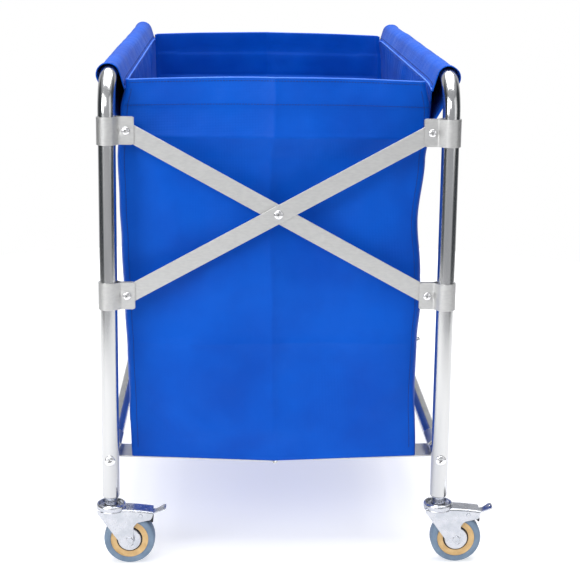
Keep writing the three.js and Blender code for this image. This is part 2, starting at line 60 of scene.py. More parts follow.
# ---------------------------------------------------------------- sizes, most of them from the frame
TUBE_R = 12.5 * MM
TUBE_WALL = 1.5 * MM
BEND_R = 50 * MM
SIDE_X = {"left": middle("left_frame_tube").x, "right": middle("right_frame_tube").x}
SIGN = {"left": -1, "right": 1, "front": -1, "rear": 1}
MID_X = (SIDE_X["left"] + SIDE_X["right"]) / 2
LEG_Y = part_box("left_frame_tube")[1].y - TUBE_R
RAIL_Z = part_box("left_frame_tube")[1].z - TUBE_R
TUBE_END_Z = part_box("left_frame_tube")[0].z
LOW_RAIL_R = 11 * MM
LOW_RAIL_Z = middle("left_lower_rail").z
UPPER_Z = middle("front_left_upper_clamp").z
LOWER_Z = middle("front_left_lower_clamp").z
PIVOT_INSET = 26.5 * MM           # leg axis to a clamp's pivot bolt
ARM_WIDTH = 25 * MM
ARM_THICK = 2.5 * MM
GAP = 0.3 * MM                    # between parts that slide or turn on each other
ARM_OFFSET = {"a": -(ARM_THICK + GAP) / 2, "b": (ARM_THICK + GAP) / 2}
CENTRE_Z = (UPPER_Z + LOWER_Z) / 2
LINK_TOP = LOW_RAIL_R + GAP       # low rail's axis down to the top of a floor link
LINK_SLOPE = math.radians(2.1)    # the floor links sag towards the middle
LINK_INSET = 66 * MM              # leg axis to the middle of a floor link
LINK_HALF = 25 * MM               # half the width of a floor link
CLAMP_EAR = 38 * MM               # leg axis to the edge of a clamp's ears
CLAMP_SHEET = 2 * MM
ENDS = ("front", "rear")
SIDES = ("left", "right")
BAG_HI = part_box("bag")[1]
WHEEL_R = 37.5 * MM
TRAIL = 27 * MM                   # leg axis to the wheel's axle


# ---------------------------------------------------------------- material helpers
def material(name, roughness, metallic=0.0, specular=0.5):
    made = bpy.data.materials.new(name)
    made.use_nodes = True
    shader = made.node_tree.nodes["Principled BSDF"]
    shader.inputs["Metallic"].default_value = metallic
    shader.inputs["Roughness"].default_value = roughness
    shader.inputs["Specular IOR Level"].default_value = specular
    return made, made.node_tree, shader


def add_node(tree, kind, inputs):
    """A shader node whose inputs are linked where an output is given, and set where a value is."""
    made = tree.nodes.new(f"ShaderNode{kind}")
    for name, value in inputs.items():
        if isinstance(value, bpy.types.NodeSocket):
            tree.links.new(value, made.inputs[name])
        else:
            made.inputs[name].default_value = value
    return made


def noise_field(tree, scale, detail, stretch=(1, 1, 1)):
    """A noise value over object space, stretched along the axes with small factors."""
    place = add_node(tree, "TexCoord", {}).outputs["Object"]
    mapping = add_node(tree, "Mapping", {"Vector": place, "Scale": stretch}).outputs["Vector"]
    return add_node(tree, "TexNoise", {"Vector": mapping, "Scale": scale, "Detail": detail}).outputs["Fac"]


def colour_range(tree, value, dark, light, low=0.35, high=0.65):
    ramp = add_node(tree, "ValToRGB", {"Fac": value})
    ramp.color_ramp.elements[0].position = low
    ramp.color_ramp.elements[0].color = (*dark, 1)
    ramp.color_ramp.elements[1].position = high
    ramp.color_ramp.elements[1].color = (*light, 1)
    return ramp.outputs["Color"]


def value_range(tree, value, low, high):
    span = {"Value": value, "From Min": 0.3, "From Max": 0.7, "To Min": low, "To Max": high}
    return add_node(tree, "MapRange", span).outputs["Result"]


def add_bump(tree, shader, height, distance):
    bump = add_node(tree, "Bump", {"Height": height, "Distance": distance, "Strength": 1.0})
    tree.links.new(bump.outputs["Normal"], shader.inputs["Normal"])


def metal(name, dark, light, smooth, rough, grain, streak=(1, 1, 1), relief=0.02 * MM):
    made, tree, shader = material(name, rough, metallic=1.0)
    cloud = noise_field(tree, grain, 4, streak)
    tree.links.new(colour_range(tree, cloud, dark, light), shader.inputs["Base Color"])
    tree.links.new(value_range(tree, cloud, smooth, rough), shader.inputs["Roughness"])
    add_bump(tree, shader, noise_field(tree, grain * 4, 2, streak), relief)
    return made


def plain_soft(name, dark, light, smooth, rough, grain, relief):
    made, tree, shader = material(name, rough, specular=0.4)
    cloud = noise_field(tree, grain, 4)
    tree.links.new(colour_range(tree, cloud, dark, light), shader.inputs["Base Color"])
    tree.links.new(value_range(tree, cloud, smooth, rough), shader.inputs["Roughness"])
    add_bump(tree, shader, noise_field(tree, grain * 8, 2), relief)
    return made


def weave_height(tree, pitch):
    """Plain weave: crossed sets of threads, one wave to two threads, on walls that face X, Y or Z."""
    place = add_node(tree, "TexCoord", {}).outputs["Object"]
    scale = 1 / pitch / 20 * TAU / 2
    total = 0.0
    for direction in ("X", "Y", "Z"):
        wave = add_node(tree, "TexWave", {"Vector": place, "Scale": scale, "Distortion": 0.4})
        wave.bands_direction = direction
        add = add_node(tree, "Math", {0: total, 1: wave.outputs["Fac"]})
        add.operation = "ADD"
        total = add.outputs["Value"]
    return total


def fabric(name, dark, light):
    rough = 0.44
    made, tree, shader = material(name, rough, specular=0.11)
    cloud = noise_field(tree, 9, 5)
    tree.links.new(colour_range(tree, cloud, dark, light), shader.inputs["Base Color"])
    tree.links.new(value_range(tree, noise_field(tree, 30, 3), rough - 0.06, rough + 0.08),
                   shader.inputs["Roughness"])
    shader.inputs["Sheen Weight"].default_value = 0.03
    shader.inputs["Sheen Roughness"].default_value = 0.4
    add_bump(tree, shader, weave_height(tree, 1.1 * MM), 0.06 * MM)
    return made


POLISHED = metal("polished_tube", (0.54, 0.545, 0.55), (0.63, 0.63, 0.63), 0.15, 0.22, grain=40,
                 streak=(1, 1, 0.1))
BRUSHED = metal("satin_strip", (0.575, 0.575, 0.57), (0.63, 0.63, 0.62), 0.46, 0.54, grain=420,
                streak=(0.3, 1, 1), relief=0.01 * MM)
FASTENER = metal("bright_bolt", (0.72, 0.72, 0.73), (0.86, 0.86, 0.87), 0.14, 0.22, grain=200)
# painted shade: a darker metal for the shade inside the bolts' cross recess
RECESS_SHADE = metal("bolt_recess_painted_shade", (0.28, 0.28, 0.28), (0.40, 0.40, 0.40), 0.4, 0.5, grain=200)
ZINC = metal("bright_zinc", (0.50, 0.52, 0.56), (0.61, 0.62, 0.66), 0.20, 0.32, grain=90)
RUBBER = plain_soft("grey_rubber", (0.130, 0.190, 0.270), (0.175, 0.245, 0.335), 0.5, 0.65, 60, 0.05 * MM)
TAN = plain_soft("tan_plastic", (0.55, 0.35, 0.15), (0.66, 0.45, 0.21), 0.35, 0.5, 80, 0.03 * MM)
BLACK = plain_soft("black_plastic", (0.010, 0.010, 0.012), (0.022, 0.022, 0.025), 0.4, 0.6, 80, 0.04 * MM)
BLUE = fabric("blue_coated_fabric", (0.000, 0.064, 0.440), (0.000, 0.086, 0.530))
# painted highlight: the rim binding and the sleeve piping are a lighter blue for the light line along
# their edges
EDGE_HIGHLIGHT = fabric("blue_fabric_edge_painted_highlight", (0.045, 0.170, 0.760), (0.100, 0.260, 0.860))
THREAD = plain_soft("sewing_thread", (0.002, 0.018, 0.130), (0.004, 0.030, 0.190), 0.6, 0.8, 400,
                    0.05 * MM)


# ---------------------------------------------------------------- number helpers
def spread(start, stop, count):
    """Evenly spaced values, both ends included."""
    return [start + (stop - start) * i / (count - 1) for i in range(count)]


def ease(value, start, stop):
    t = min(max((value - start) / (stop - start), 0.0), 1.0)
    return t * t * (3 - 2 * t)


def bell(value, centre, width):
    return math.exp(-((value - centre) / width) ** 2)


def ridge(value, centre, width):
    return math.exp(-abs(value - centre) / width)


def field(x, y, z):
    return noise.noise(Vector((x, y, z)))


# ---------------------------------------------------------------- mesh helpers
def new_piece(name, verts, faces, look, sharp=35):
    mesh = bpy.data.meshes.new(name)
    mesh.from_pydata([tuple(v) for v in verts], [], faces)
    mesh.validate()
    mesh.materials.append(look)
    for polygon in mesh.polygons:
        polygon.use_smooth = True
    piece = bpy.data.objects.new(name, mesh)
    bpy.context.scene.collection.objects.link(piece)
    face_outward(mesh)
    mesh.set_sharp_from_angle(angle=math.radians(sharp))
    return piece


def face_outward(mesh):
    work = bmesh.new()
    work.from_mesh(mesh)
    bmesh.ops.remove_doubles(work, verts=work.verts, dist=1e-7)
    bmesh.ops.recalc_face_normals(work, faces=work.faces)
    work.to_mesh(mesh)
    work.free()


def loft_faces(rings, count, start=0, ring_closed=True, path_closed=False):
    faces = []
    last = rings if path_closed else rings - 1
    for r in range(last):
        a, b = start + r * count, start + ((r + 1) % rings) * count
        for i in range(count if ring_closed else count - 1):
            j = (i + 1) % count
            faces.append((a + i, a + j, b + j, b + i))
    return faces


def loft(name, rings, look, ring_closed=True, path_closed=False, caps=False, sharp=35):
    """A skin through rings that all have the same number of points."""
    count = len(rings[0])
    faces = loft_faces(len(rings), count, 0, ring_closed, path_closed)
    if caps:
        faces.append(tuple(range(count)))
        faces.append(tuple((len(rings) - 1) * count + i for i in range(count)))
    return new_piece(name, [v for ring in rings for v in ring], faces, look, sharp)


def circle(place, across, up, radius, sides):
    return [place + radius * (math.cos(TAU * i / sides) * across + math.sin(TAU * i / sides) * up)
            for i in range(sides)]


def lathe(name, profile, centre, axis, look, sides=64, closed=False, sharp=35):
    """profile: (radius, distance along the axis) pairs, in metres."""
    along = Vector(axis).normalized()
    across = along.orthogonal().normalized()
    up = along.cross(across)
    rings = [circle(centre + along * h, across, up, max(r, 1e-7), sides) for r, h in profile]
    return loft(name, rings, look, path_closed=closed, sharp=sharp)


def lathe_mm(name, profile, centre, axis, look, sides=64, closed=False, sharp=35):
    """A lathe piece whose profile is in millimetres."""
    return lathe(name, [(r * MM, h * MM) for r, h in profile], centre, axis, look, sides, closed, sharp)


def arc(cx, cz, radius, start, stop, steps):
    """Points (x, z) on an arc, its angles in degrees."""
    angles = [math.radians(angle) for angle in spread(start, stop, steps + 1)]
    return [(cx + radius * math.cos(t), cz + radius * math.sin(t)) for t in angles]


def plate(name, outline, y_low, y_high, look, bevel=0.4 * MM):
    """An XZ outline given thickness along Y, its rim rounded."""
    rings = [[Vector((x, y, z)) for x, z in outline] for y in (y_low, y_high)]
    made = loft(name, rings, look, caps=True)
    round_edges(made, bevel)
    return made


def round_edges(piece, width, segments=2, angle=35):
    modifier = piece.modifiers.new("edges", "BEVEL")
    modifier.width = width
    modifier.segments = segments
    modifier.limit_method = "ANGLE"
    modifier.angle_limit = math.radians(angle)
    modifier.harden_normals = True


def bake(piece):
    """Modifiers become plain mesh."""
    depsgraph = bpy.context.evaluated_depsgraph_get()
    mesh = bpy.data.meshes.new_from_object(piece.evaluated_get(depsgraph))
    piece.modifiers.clear()
    piece.data = mesh
    return piece


def settle(piece, body, slot, *nodes):
    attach(piece, body)
    if nodes:
        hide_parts(*nodes)
    return piece


# ---------------------------------------------------------------- camera, light and floor
CAMERA_PLACE = (-0.092, -2.461, 0.947)
CAMERA_TURN = (2.22, 11.46, 0.73)       # yaw, pitch and roll, in degrees
CAMERA_LENS = 89.9
CAMERA_SHIFT = -0.14


def add_camera():
    data = bpy.data.cameras.new("camera")
    data.lens = CAMERA_LENS
    data.sensor_width = 36
    data.shift_y = CAMERA_SHIFT
    data.clip_end = 50
    camera = bpy.data.objects.new("camera", data)
    bpy.context.scene.collection.objects.link(camera)
    yaw, pitch, roll = (math.radians(angle) for angle in CAMERA_TURN)
    forward = Vector((math.sin(yaw) * math.cos(pitch), math.cos(yaw) * math.cos(pitch), -math.sin(pitch)))
    level = Vector((math.cos(yaw), -math.sin(yaw), 0))
    upright = level.cross(forward)
    right = level * math.cos(roll) + upright * math.sin(roll)
    up = right.cross(forward)
    turn = Matrix((right, up, -forward)).transposed()
    camera.matrix_world = Matrix.Translation(CAMERA_PLACE) @ turn.to_4x4()
    bpy.context.scene.camera = camera


def add_softbox(name, place, target, width, height, power):
    """A rectangular light turned to its target: metres and watts."""
    data = bpy.data.lights.new(name, "AREA")
    data.shape = "RECTANGLE"
    data.size = width
    data.size_y = height
    data.energy = power
    light = bpy.data.objects.new(name, data)
    bpy.context.scene.collection.objects.link(light)
    aim = (Vector(target) - Vector(place)).to_track_quat("-Z", "Y")
    light.matrix_world = Matrix.Translation(place) @ aim.to_matrix().to_4x4()


def add_world():
    """Light to the front, the rear and above, and dark to both sides, which edges the tubes."""
    world = bpy.data.worlds.new("studio")
    bpy.context.scene.world = world
    world.use_nodes = True
    tree = world.node_tree
    tree.nodes.clear()
    place = add_node(tree, "TexCoord", {}).outputs["Generated"]
    split = add_node(tree, "SeparateXYZ", {"Vector": place})
    along = add_node(tree, "Math", {0: split.outputs["Y"]})
    along.operation = "ABSOLUTE"
    highest = add_node(tree, "Math", {0: along.outputs["Value"], 1: split.outputs["Z"]})
    highest.operation = "MAXIMUM"
    dark, light = (0.09, 0.10, 0.11), (0.86, 0.87, 0.90)
    colour = colour_range(tree, highest.outputs["Value"], dark, light, 0.48, 0.68)
    studio = add_node(tree, "Background", {"Color": colour, "Strength": 0.60}).outputs["Background"]
    seen = add_node(tree, "Background", {"Color": (1, 1, 1, 1)}).outputs["Background"]
    to_camera = add_node(tree, "LightPath", {}).outputs["Is Camera Ray"]
    mix = add_node(tree, "MixShader", {"Fac": to_camera, 1: studio, 2: seen}).outputs["Shader"]
    add_node(tree, "OutputWorld", {"Surface": mix})


def add_floor():
    """A round pale floor just under the wheels, lit a little from within so that it stays white."""
    look = plain_soft("pale_floor", (0.58, 0.58, 0.58), (0.62, 0.62, 0.62), 0.6, 0.7, 3, 0.02 * MM)
    rings = [circle(Vector((0, 0, -0.2 * MM)), Vector((1, 0, 0)), Vector((0, 1, 0)), r, 64)
             for r in (1e-4, 1.7)]
    floor = loft("studio_floor", rings, look)
    shader = look.node_tree.nodes["Principled BSDF"]
    shader.inputs["Emission Color"].default_value = (1, 1, 1, 1)
    shader.inputs["Emission Strength"].default_value = 0.55


def add_studio():
    bpy.context.scene.view_settings.view_transform = "Standard"
    add_camera()
    add_world()
    add_floor()
    aim = (MID_X, 0, 0.4)
    add_softbox("key_left", (-2.2, -2.3, 1.5), aim, 1.4, 2.0, 36)
    add_softbox("fill_right", (2.3, -2.1, 1.3), aim, 1.6, 2.2, 9)
    add_softbox("top", (0, 0.2, 3.0), (MID_X, 0, 0), 3.0, 3.0, 118)
    add_softbox("front_high", (-0.9, -2.7, 1.75), (MID_X, 0, 0.6), 1.3, 0.8, 16)


# ---------------------------------------------------------------- side frames
def u_path(x):
    """Places and directions along the bent tube, from the front leg's end to the rear one's."""
    path = []
    for z in (TUBE_END_Z, TUBE_END_Z + 0.5 * MM, TUBE_END_Z + 1.6 * MM, 0.3, 0.5, RAIL_Z - BEND_R):
        path.append((Vector((x, -LEG_Y, z)), Vector((0, 0, 1))))
    for step in range(1, 15):
        t = math.pi - math.pi / 2 * step / 14
        place = Vector((x, -LEG_Y + BEND_R + BEND_R * math.cos(t), RAIL_Z - BEND_R + BEND_R * math.sin(t)))
        path.append((place, Vector((0, math.sin(t), -math.cos(t)))))
    half = path + [(Vector((x, 0, RAIL_Z)), Vector((0, 1, 0)))]
    back = [(Vector((x, -p.y, p.z)), Vector((0, d.y, -d.z))) for p, d in reversed(path)]
    return half + back


END_ROUNDING = (1.2 * MM, 0.35 * MM)    # the tube's ends are a little narrower


def frame_tube(side):
    x = SIDE_X[side]
    path = u_path(x)
    last = len(path) - 1
    across = Vector((1, 0, 0))
    rings = []
    for inner in (False, True):
        stations = list(enumerate(path))
        for i, (place, direction) in reversed(stations) if inner else stations:
            radius = TUBE_R - (TUBE_WALL if inner else 0)
            if min(i, last - i) < len(END_ROUNDING):
                radius -= END_ROUNDING[min(i, last - i)]
            rings.append(circle(place, across, direction.cross(across), radius, 48))
    tube = loft(f"{side}_tube_skin", rings, POLISHED, path_closed=True, sharp=50)
    settle(tube, f"{side}_frame", "polished", f"{side}_frame_tube")


def lower_rail(side):
    end = LEG_Y - TUBE_R - GAP
    profile = [(2 * MM, -end), (LOW_RAIL_R - 0.6 * MM, -end), (LOW_RAIL_R, -end + 0.6 * MM),
               (LOW_RAIL_R, end - 0.6 * MM), (LOW_RAIL_R - 0.6 * MM, end), (2 * MM, end)]
    rail = lathe(f"{side}_lower_rail_skin", profile, Vector((SIDE_X[side], 0, LOW_RAIL_Z)), (0, 1, 0),
                 POLISHED, 48, closed=True)
    settle(rail, f"{side}_frame", "polished", f"{side}_lower_rail")


# ---------------------------------------------------------------- bolts
def bolt_mesh(head_radius, head_height, reach, nut_from, nut_radius):
    """A pan-head bolt along +Y: head's seat at y = 0, shank on the -Y side, a nut if it has a radius."""
    h = head_height
    dome = [(head_radius * math.cos(t), h * 0.25 + h * 0.75 * math.sin(t))
            for t in spread(0, math.pi / 2, 9)]
    shank = [(0, -reach), (2.7 * MM, -reach), (3 * MM, -reach + 0.4 * MM), (3 * MM, 0)]
    profile = shank + [(head_radius * 0.97, 0)] + dome
    bolt = lathe("bolt_pattern", profile, Vector((0, 0, 0)), (0, 1, 0), FASTENER, 40, sharp=50)
    long = 0.42 * head_radius
    short = 0.13 * head_radius
    for wide, tall in ((long, short), (short, long)):
        outline = [(-wide, -tall), (wide, -tall), (wide, tall), (-wide, tall)]
        rings = [[Vector((x, y, z)) for x, z in outline] for y in (h * 0.45, h * 1.5)]
        # the cut faces take the cutter's darker metal, which is painted shade in the recess
        cutter = loft("bolt_cutter", rings, RECESS_SHADE, caps=True)
        cut = bolt.modifiers.new("recess", "BOOLEAN")
        cut.operation = "DIFFERENCE"
        cut.object = cutter
        cut.solver = "EXACT"
        cut.material_mode = "TRANSFER"
        bake(bolt)
        bpy.data.objects.remove(cutter)
    if nut_radius:
        hexagon = arc(0, 0, nut_radius, 0, 300, 5)
        nut = plate("nut_pattern", hexagon, -nut_from - 4.5 * MM, -nut_from, FASTENER, 0.5 * MM)
        bake(nut)
        join(bolt, nut)
    return bolt


def join(target, extra):
    """The extra piece becomes part of the target's mesh."""
    with bpy.context.temp_override(active_object=target, selected_editable_objects=[target, extra]):
        bpy.ops.object.join()


def place_bolt(pattern, name, place, facing, turn, body, node):
    """A copy of the pattern with its seat at place, its head towards facing along Y, its recess turned."""
    bolt = bpy.data.objects.new(name, pattern.data.copy())
    bpy.context.scene.collection.objects.link(bolt)
    spin = Matrix.Rotation(math.radians(turn), 4, "Y")
    flip = Matrix.Identity(4) if facing > 0 else Matrix.Rotation(math.pi, 4, "Z")
    bolt.data.transform(Matrix.Translation(place) @ flip @ spin)
    settle(bolt, body, "fastener", node)


def add_bolts():
    """Every bolt is a copy of one of three patterns, its recess at an angle of its own."""
    ear_seat = ARM_THICK / 2 + 2 * GAP + CLAMP_SHEET
    pivot = bolt_mesh(head_radius=6 * MM, head_height=3 * MM, reach=2 * ear_seat + 6 * MM,
                      nut_from=2 * ear_seat, nut_radius=5.8 * MM)
    stack = ARM_THICK + 1.5 * GAP
    centre = bolt_mesh(head_radius=6.8 * MM, head_height=3 * MM, reach=2 * stack + 6 * MM,
                       nut_from=2 * stack, nut_radius=5.8 * MM)
    rail = bolt_mesh(head_radius=7.75 * MM, head_height=3.5 * MM, reach=48 * MM, nut_from=0, nut_radius=0)
    for e, end in enumerate(ENDS):
        out = SIGN[end]
        seat = Vector((MID_X, out * (LEG_Y + stack), CENTRE_Z))
        place_bolt(centre, f"{end}_centre_bolt_skin", seat, out, 20 + 30 * e, f"{end}_arm_a",
                   f"{end}_brace_centre_bolt")
        for s, side in enumerate(SIDES):
            seat = Vector((SIDE_X[side], out * (LEG_Y + TUBE_R + GAP), LOW_RAIL_Z))
            label = f"{end}_{side}_rail_bolt"
            place_bolt(rail, f"{label}_skin", seat, out, 12 + 37 * s, f"{side}_frame", label)
            for level, z in (("upper", UPPER_Z), ("lower", LOWER_Z)):
                arm = "a" if (side == "left") == (level == "upper") else "b"
                x = SIDE_X[side] - SIGN[side] * PIVOT_INSET
                seat = Vector((x, out * (LEG_Y + ARM_OFFSET[arm] + ear_seat), z))
                body = f"{side}_frame" if level == "upper" else f"{end}_{side}_slider"
                label = f"{end}_{side}_{level}_clamp_bolt"
                turn = 25 + 40 * s + 17 * (level == "upper")
                place_bolt(pivot, f"{label}_skin", seat, out, turn, body, label)
    for pattern in (pivot, centre, rail):
        bpy.data.objects.remove(pattern)


# ---------------------------------------------------------------- scissor braces and their clamps
def brace_arm(end, arm):
    """Arm a runs from the upper left to the lower right, arm b the other way."""
    dx = (SIDE_X["right"] - SIDE_X["left"]) / 2 - PIVOT_INSET
    dz = (UPPER_Z - LOWER_Z) / 2
    reach = math.hypot(dx, dz)
    slope = math.atan2(dz, dx) * (-1 if arm == "a" else 1)
    radius = ARM_WIDTH / 2
    outline = arc(reach, 0, radius, -90, 90, 20) + arc(-reach, 0, radius, 90, 270, 20)
    run, rise = math.cos(slope), math.sin(slope)
    sloped = [(MID_X + x * run - z * rise, CENTRE_Z + x * rise + z * run) for x, z in outline]
    y = SIGN[end] * (LEG_Y + ARM_OFFSET[arm])
    made = plate(f"{end}_arm_{arm}_skin", sloped, y - ARM_THICK / 2, y + ARM_THICK / 2, BRUSHED, 0.5 * MM)
    settle(made, f"{end}_arm_{arm}", "brushed", f"{end}_brace_arm_{arm}")


def clamp_path(slot):
    """The sheet's middle line round the leg, its ears towards +X, as (x, y) pairs from the leg's axis."""
    ear = ARM_THICK / 2 + GAP + CLAMP_SHEET / 2
    radius = TUBE_R + GAP + CLAMP_SHEET / 2
    neck = (17.3 * MM, slot + ear)
    bend_in = (20 * MM, slot + ear)
    upper = [(CLAMP_EAR - (CLAMP_EAR - bend_in[0]) * i / 6, slot + ear) for i in range(6)]
    leave = (radius * math.cos(math.radians(45)), radius * math.sin(math.radians(45)))
    bend_out = (neck[0] + (leave[0] - neck[0]) * 0.3, neck[1] + (leave[1] - neck[1]) * 0.3)
    for i in range(6):
        t = i / 5
        upper.append(tuple((1 - t) ** 2 * a + 2 * t * (1 - t) * b + t * t * c
                           for a, b, c in zip(bend_in, neck, bend_out)))
    lower = [(x, 2 * slot - y) for x, y in reversed(upper)]
    band = [(radius * math.cos(math.radians(t)), radius * math.sin(math.radians(t)))
            for t in range(45, 316, 9)]
    return upper + band + lower


def clamp(end, side, level, z_middle):
    """A strap bent round the leg, its two ears pinched together beside it and dented at the neck."""
    arm = "a" if (side == "left") == (level == "upper") else "b"
    slot = SIGN[end] * ARM_OFFSET[arm]
    path = clamp_path(slot)
    count = len(path)
    half_height = 19.75 * MM
    half_sheet = CLAMP_SHEET / 2
    corner = 1.5 * MM
    rows = 31
    outside, inside, heights = [], [], []
    for i, (x, y) in enumerate(path):
        a, b = path[max(i - 1, 0)], path[min(i + 1, count - 1)]
        tangent = Vector((b[0] - a[0], b[1] - a[1])).normalized()
        normal = Vector((tangent.y, -tangent.x))
        outside.append(Vector((x, y)) + normal * half_sheet)
        inside.append(Vector((x, y)) - normal * half_sheet)
        past = max(0.0, x - (CLAMP_EAR - corner))
        heights.append(half_height - corner + math.sqrt(max(corner ** 2 - past ** 2, 0)))
    walk = [(i, outside) for i in range(count)] + [(i, inside) for i in reversed(range(count))]
    rings = []
    for row in range(rows):
        share = 2 * row / (rows - 1) - 1
        ring = []
        for i, line in walk:
            z = heights[i] * share
            x, y = line[i]
            dent = 1.7 * MM * bell(x, 17.8 * MM, 1.9 * MM) * bell(z, 0, 5.5 * MM)
            y -= math.copysign(dent, y - slot) if x > 12 * MM else 0
            ring.append(Vector((SIDE_X[side] - SIGN[side] * x, SIGN[end] * LEG_Y + y, z_middle + z)))
        rings.append(ring)
    verts = [v for ring in rings for v in ring]
    faces = loft_faces(rows, 2 * count)
    for base in (0, (rows - 1) * 2 * count):
        for i in range(count - 1):
            faces.append((base + i, base + i + 1, base + 2 * count - 2 - i, base + 2 * count - 1 - i))
    label = f"{end}_{side}_{level}_clamp"
    made = new_piece(f"{label}_skin", verts, faces, BRUSHED, 40)
    body = f"{side}_frame" if level == "upper" else f"{end}_{side}_slider"
    settle(made, body, "brushed", label)


# ---------------------------------------------------------------- floor links
def floor_link(end, side):
    """A strip that curls round the lower rail and runs to the middle, half as wide where the two lap."""
    slope = LINK_SLOPE
    sheet = 2 * MM
    mid = LINK_TOP + sheet / 2
    reach = ((SIDE_X["right"] - SIDE_X["left"]) / 2 + mid * math.sin(slope)) / math.cos(slope)
    lap = 56 * MM
    tongue_edge = -0.15 * MM
    stations = ((reach, 0), (reach - lap, 0), (reach - lap - 1 * MM, 1), (60 * MM, 1))
    line = [(x, -mid, full) for x, full in stations]
    curl = [math.radians(t) for t in range(-335, -89, 7)]
    line += [(mid * math.cos(t), mid * math.sin(t), 1) for t in reversed(curl)]
    count = len(line)
    top, bottom = [], []
    for i, (x, z, _) in enumerate(line):
        a, b = line[max(i - 1, 0)], line[min(i + 1, count - 1)]
        tangent = Vector((b[0] - a[0], b[1] - a[1])).normalized()
        normal = Vector((-tangent.y, tangent.x)) * (sheet / 2)
        top.append(Vector((x, z)) + normal)
        bottom.append(Vector((x, z)) - normal)
    out = -SIGN[side]
    middle_y = SIGN[end] * (LEG_Y - LINK_INSET)
    origin = Vector((SIDE_X[side], middle_y, LOW_RAIL_Z))

    def place(x, y, z):
        run, rise = x * math.cos(slope) + z * math.sin(slope), -x * math.sin(slope) + z * math.cos(slope)
        return origin + Vector((run * out, y * out, rise))

    rings = []
    for i in range(count):
        far = LINK_HALF if line[i][2] else tongue_edge
        rings.append([place(top[i].x, -LINK_HALF, top[i].y), place(top[i].x, far, top[i].y),
                      place(bottom[i].x, far, bottom[i].y), place(bottom[i].x, -LINK_HALF, bottom[i].y)])
    strip = loft(f"{end}_{side}_link_skin", rings, BRUSHED, caps=True)
    round_edges(strip, 0.35 * MM)
    bake(strip)
    knuckle_lo, knuckle_hi = place(reach, -LINK_HALF, -mid), place(reach, tongue_edge, -mid)
    length = (knuckle_hi - knuckle_lo).length
    profile = [(2.2 * MM, 0), (3.6 * MM, 0), (4 * MM, 0.4 * MM), (4 * MM, length - 0.4 * MM),
               (3.6 * MM, length), (2.2 * MM, length)]
    knuckle = lathe("knuckle", profile, knuckle_lo, knuckle_hi - knuckle_lo, BRUSHED, 24, closed=True)
    join(strip, knuckle)
    settle(strip, f"{end}_{side}_link", "brushed", f"{end}_{side}_floor_link")


def add_frame():
    for side in SIDES:
        frame_tube(side)
        lower_rail(side)
    for end in ENDS:
        for arm in ("a", "b"):
            brace_arm(end, arm)
        for side in SIDES:
            clamp(end, side, "upper", UPPER_Z)
            clamp(end, side, "lower", LOWER_Z)
            floor_link(end, side)
        # the link pins stay as the frame has them, but bright
        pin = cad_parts[f"{end}_floor_link_pin"]
        pin.data.materials.clear()
        pin.data.materials.append(FASTENER)
    add_bolts()


# ---------------------------------------------------------------- casters
def cheek_bottom(x):
    """Height of a cheek's lower edge over the floor, at x from the leg's axis, in millimetres."""
    if x < 11:
        return 79 - (x + 19) * 1.40
    if x < 33.2:
        return 37.5 - math.sqrt(max(11.3 ** 2 - (x - 22.1) ** 2, 0)) * 0.9
    share = min((x - 33.2) / 8, 1)
    rise = 58 + 7.8 * math.sin(share * math.pi / 2) + max(x - 41.2, 0) * 0.22
    return rise + max(x - 58, 0) ** 2 * 0.45


def fork_shell(place, name):
    """Pressed fork and brake housing: a rounded U section whose sides reach down to the axle."""
    half = 14.5 * MM
    corner = 3.0 * MM
    stations = [-19.5, -18, -15, -11, -7, -3, 1, 5, 8, 10.9, 11.2, 12.5, 15, 18, 21, 24, 27, 29.5,
                31.5, 32.7, 33.15, 33.3, 34.5, 36, 38, 40.5, 43, 46, 50, 54, 57, 59, 60.5, 61.8]
    rings = []
    for x in stations:
        top = (85.5 - 0.0016 * max(x - 12, 0) ** 2) * MM
        low = min(cheek_bottom(x) * MM, top - corner - 0.5 * MM)
        side = [(-half, z) for z in spread(low, top - corner, 8)]
        bend = [(-half + corner - corner * math.cos(t), top - corner + corner * math.sin(t))
                for t in spread(0, math.pi / 2, 6)[1:]]
        left = side + bend
        flat = [(y, top) for y in (-8 * MM, -4 * MM, 0, 4 * MM, 8 * MM)]
        section = left + flat + [(-y, z) for y, z in reversed(left)]
        rings.append([place + Vector((x * MM, y, z)) for y, z in section])
    shell = loft(name, rings, ZINC, ring_closed=False, sharp=60)
    sheet_metal = shell.modifiers.new("sheet", "SOLIDIFY")
    sheet_metal.thickness = 1.8 * MM
    sheet_metal.offset = -1
    sheet_metal.use_even_offset = True
    round_edges(shell, 0.35 * MM, 2, 50)
    return shell


def raceway(place, name):
    """The swivel's two rings: a rolled outer lip, a groove, and an inner ring round the stem."""
    profile = [(5.4, 81), (19.6, 81), (20.6, 81.6), (21.0, 82.4), (20.6, 83.2), (20.9, 83.8),
               (21.5, 84.8), (21.6, 87), (21.6, 88.8), (21.2, 90.3), (20.2, 91.4), (19.2, 91.8),
               (18.3, 91.4), (17.6, 90.2), (17.2, 88.2), (16.6, 87.4), (13.4, 87.0), (12.6, 87.6),
               (12.0, 89.4), (11.3, 90.2), (10.4, 90.0), (10.0, 88.8), (9.8, 84), (5.4, 84)]
    return lathe_mm(name, profile, place, (0, 0, 1), ZINC, 64, closed=True, sharp=30)


def on_axle(name, place, side, profile, look, sides=56):
    """A turned piece on the axle, on the +Y or -Y side of the wheel: profile in millimetres."""
    axle = place + Vector((TRAIL, 0, WHEEL_R))
    return lathe_mm(name, profile, axle, (0, side, 0), look, sides)


